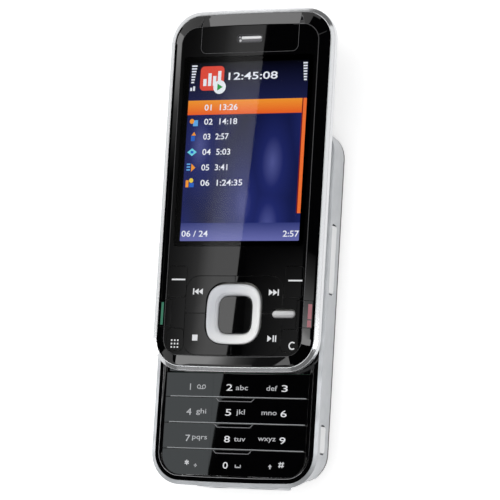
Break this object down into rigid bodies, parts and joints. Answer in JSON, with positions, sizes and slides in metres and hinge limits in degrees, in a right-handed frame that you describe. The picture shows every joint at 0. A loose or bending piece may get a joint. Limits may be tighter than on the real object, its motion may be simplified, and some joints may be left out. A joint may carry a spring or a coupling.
{
  "type": "slider phone",
  "caption": "Slider phone shown open: a display half with media keys slides on a base half that holds the number keys, camera and battery.",
  "frame": {"origin": "middle of the base half's flat back", "axes": "+X the phone's right, +Y towards the earpiece, +Z out of the display"},
  "size_m": [0.0508, 0.1335, 0.0179],
  "materials": {
    "gloss_black": "piano black, polished",
    "key_black": "piano black key cap, polished",
    "window": "clear, polished",
    "rim_silver": "satin silver",
    "frame_silver": "satin silver",
    "key_silver": "satin silver key cap",
    "grille_steel": "bright",
    "back_dark": "fine textured dark",
    "cover_dark": "fine textured dark, battery cover",
    "plate_dark": "dark satin",
    "slide_steel": "stamped sheet",
    "spring_steel": "bright wire",
    "screw_steel": "dark zinc",
    "display": "lit display glass",
    "board_green": "solder mask",
    "mat_rubber": "translucent silicone",
    "battery_grey": "label film, bare",
    "module_black": "moulded",
    "lens_glass": "coated",
    "socket_steel": "stamped shell",
    "speaker_grey": "moulded",
    "motor_steel": "drawn can",
    "tungsten": "sintered",
    "polyimide": "amber film"
  },
  "bodies": {
    "base": {"base_frame": "frame_silver", "keypad_bezel": "gloss_black", "keypad_mat": "mat_rubber", "main_board": "board_green", "rear_shell": "back_dark", "battery": "battery_grey", "camera_module": "module_black", "camera_window": "lens_glass", "loudspeakers": "speaker_grey", "vibration_motor": "motor_steel", "audio_jack": "module_black", "bottom_sockets": "socket_steel", "guide_plate": "slide_steel", "assist_spring": "spring_steel", "slide_flex": "polyimide", "base_screws": "screw_steel"},
    "upper": {"front_cover": "gloss_black", "earpiece_plate": "gloss_black", "earpiece_grille": "grille_steel", "earpiece_speaker": "speaker_grey", "upper_rim": "rim_silver", "display_window": "window", "display_module": "display", "navigation_board": "board_green", "navigation_keymat": "mat_rubber", "upper_back_cover": "plate_dark", "slide_plate": "slide_steel", "upper_screws": "screw_steel"},
    "navigation_ring": {"navigation_ring": "key_silver"},
    "select_key": {"select_key": "key_black"},
    "left_soft_key": {"left_soft_key": "key_black"},
    "right_soft_key": {"right_soft_key": "key_black"},
    "previous_key": {"previous_key": "key_black"},
    "next_key": {"next_key": "key_black"},
    "stop_key": {"stop_key": "key_black"},
    "play_key": {"play_key": "key_black"},
    "multimedia_key": {"multimedia_key": "key_silver"},
    "menu_key": {"menu_key": "key_black"},
    "clear_key": {"clear_key": "key_black"},
    "call_key": {"call_key": "key_black"},
    "end_key": {"end_key": "key_black"},
    "key_1": {"key_1": "key_black"},
    "key_2": {"key_2": "key_black"},
    "key_3": {"key_3": "key_black"},
    "key_4": {"key_4": "key_black"},
    "key_5": {"key_5": "key_black"},
    "key_6": {"key_6": "key_black"},
    "key_7": {"key_7": "key_black"},
    "key_8": {"key_8": "key_black"},
    "key_9": {"key_9": "key_black"},
    "key_star": {"key_star": "key_black"},
    "key_0": {"key_0": "key_black"},
    "key_hash": {"key_hash": "key_black"},
    "volume_key": {"volume_key": "key_silver"},
    "camera_key": {"camera_key": "key_silver"},
    "power_key": {"power_key": "key_silver"},
    "hold_switch": {"hold_switch": "module_black"},
    "card_door": {"card_door": "frame_silver"},
    "battery_cover": {"battery_cover": "cover_dark"},
    "vibration_weight": {"vibration_weight": "tungsten"}
  },
  "joints": [
    {"name": "upper_slide", "type": "slide", "parent": "base", "child": "upper", "axis": [0, 1, 0], "range_m": [-0.0315, 0], "deforming": ["assist_spring", "slide_flex"]},
    {"name": "volume_key_rock", "type": "hinge", "parent": "base", "child": "volume_key", "pos_m": [0.0238, 0.0127, 0.0086], "axis": [0, 0, 1], "range_deg": [-1.5, 1.5], "stiffness_Nm_per_rad": 0.08},
    {"name": "camera_key_press", "type": "slide", "parent": "base", "child": "camera_key", "axis": [-1, 0, 0], "range_m": [0, 0.0004], "stiffness_N_per_m": 900, "springref_m": -0.0006},
    {"name": "power_key_press", "type": "slide", "parent": "base", "child": "power_key", "axis": [0, -1, 0], "range_m": [0, 0.0003], "stiffness_N_per_m": 900, "springref_m": -0.0006},
    {"name": "hold_switch_slide", "type": "slide", "parent": "base", "child": "hold_switch", "axis": [1, 0, 0], "range_m": [0, 0.002]},
    {"name": "card_door_hinge", "type": "hinge", "parent": "base", "child": "card_door", "pos_m": [-0.02472, -0.031, 0.00709], "axis": [0, 1, 0], "range_deg": [-85, 0]},
    {"name": "battery_cover_slide", "type": "slide", "parent": "base", "child": "battery_cover", "axis": [0, -1, 0], "range_m": [0, 0.006]},
    {"name": "vibration_weight_spin", "type": "hinge", "parent": "base", "child": "vibration_weight", "pos_m": [-0.0068, -0.0403, 0.0052], "axis": [1, 0, 0], "continuous": true},
    {"name": "navigation_ring_press", "type": "slide", "parent": "upper", "child": "navigation_ring", "axis": [0, 0, -1], "range_m": [0, 0.00025], "stiffness_N_per_m": 900, "springref_m": -0.0006},
    {"name": "select_key_press", "type": "slide", "parent": "upper", "child": "select_key", "axis": [0, 0, -1], "range_m": [0, 0.00025], "stiffness_N_per_m": 900, "springref_m": -0.0006},
    {"name": "left_soft_key_press", "type": "slide", "parent": "upper", "child": "left_soft_key", "axis": [0, 0, -1], "range_m": [0, 0.00025], "stiffness_N_per_m": 900, "springref_m": -0.0006},
    {"name": "right_soft_key_press", "type": "slide", "parent": "upper", "child": "right_soft_key", "axis": [0, 0, -1], "range_m": [0, 0.00025], "stiffness_N_per_m": 900, "springref_m": -0.0006},
    {"name": "previous_key_press", "type": "slide", "parent": "upper", "child": "previous_key", "axis": [0, 0, -1], "range_m": [0, 0.00025], "stiffness_N_per_m": 900, "springref_m": -0.0006},
    {"name": "next_key_press", "type": "slide", "parent": "upper", "child": "next_key", "axis": [0, 0, -1], "range_m": [0, 0.00025], "stiffness_N_per_m": 900, "springref_m": -0.0006},
    {"name": "stop_key_press", "type": "slide", "parent": "upper", "child": "stop_key", "axis": [0, 0, -1], "range_m": [0, 0.00025], "stiffness_N_per_m": 900, "springref_m": -0.0006},
    {"name": "play_key_press", "type": "slide", "parent": "upper", "child": "play_key", "axis": [0, 0, -1], "range_m": [0, 0.00025], "stiffness_N_per_m": 900, "springref_m": -0.0006},
    {"name": "multimedia_key_press", "type": "slide", "parent": "upper", "child": "multimedia_key", "axis": [0, 0, -1], "range_m": [0, 0.00025], "stiffness_N_per_m": 900, "springref_m": -0.0006},
    {"name": "menu_key_press", "type": "slide", "parent": "upper", "child": "menu_key", "axis": [0, 0, -1], "range_m": [0, 0.00025], "stiffness_N_per_m": 900, "springref_m": -0.0006},
    {"name": "clear_key_press", "type": "slide", "parent": "upper", "child": "clear_key", "axis": [0, 0, -1], "range_m": [0, 0.00025], "stiffness_N_per_m": 900, "springref_m": -0.0006},
    {"name": "call_key_press", "type": "slide", "parent": "upper", "child": "call_key", "axis": [0, 0, -1], "range_m": [0, 0.00025], "stiffness_N_per_m": 900, "springref_m": -0.0006},
    {"name": "end_key_press", "type": "slide", "parent": "upper", "child": "end_key", "axis": [0, 0, -1], "range_m": [0, 0.00025], "stiffness_N_per_m": 900, "springref_m": -0.0006},
    {"name": "key_1_press", "type": "slide", "parent": "base", "child": "key_1", "axis": [0, 0, -1], "range_m": [0, 0.00025], "stiffness_N_per_m": 900, "springref_m": -0.0006},
    {"name": "key_2_press", "type": "slide", "parent": "base", "child": "key_2", "axis": [0, 0, -1], "range_m": [0, 0.00025], "stiffness_N_per_m": 900, "springref_m": -0.0006},
    {"name": "key_3_press", "type": "slide", "parent": "base", "child": "key_3", "axis": [0, 0, -1], "range_m": [0, 0.00025], "stiffness_N_per_m": 900, "springref_m": -0.0006},
    {"name": "key_4_press", "type": "slide", "parent": "base", "child": "key_4", "axis": [0, 0, -1], "range_m": [0, 0.00025], "stiffness_N_per_m": 900, "springref_m": -0.0006},
    {"name": "key_5_press", "type": "slide", "parent": "base", "child": "key_5", "axis": [0, 0, -1], "range_m": [0, 0.00025], "stiffness_N_per_m": 900, "springref_m": -0.0006},
    {"name": "key_6_press", "type": "slide", "parent": "base", "child": "key_6", "axis": [0, 0, -1], "range_m": [0, 0.00025], "stiffness_N_per_m": 900, "springref_m": -0.0006},
    {"name": "key_7_press", "type": "slide", "parent": "base", "child": "key_7", "axis": [0, 0, -1], "range_m": [0, 0.00025], "stiffness_N_per_m": 900, "springref_m": -0.0006},
    {"name": "key_8_press", "type": "slide", "parent": "base", "child": "key_8", "axis": [0, 0, -1], "range_m": [0, 0.00025], "stiffness_N_per_m": 900, "springref_m": -0.0006},
    {"name": "key_9_press", "type": "slide", "parent": "base", "child": "key_9", "axis": [0, 0, -1], "range_m": [0, 0.00025], "stiffness_N_per_m": 900, "springref_m": -0.0006},
    {"name": "key_star_press", "type": "slide", "parent": "base", "child": "key_star", "axis": [0, 0, -1], "range_m": [0, 0.00025], "stiffness_N_per_m": 900, "springref_m": -0.0006},
    {"name": "key_0_press", "type": "slide", "parent": "base", "child": "key_0", "axis": [0, 0, -1], "range_m": [0, 0.00025], "stiffness_N_per_m": 900, "springref_m": -0.0006},
    {"name": "key_hash_press", "type": "slide", "parent": "base", "child": "key_hash", "axis": [0, 0, -1], "range_m": [0, 0.00025], "stiffness_N_per_m": 900, "springref_m": -0.0006}
  ]
}
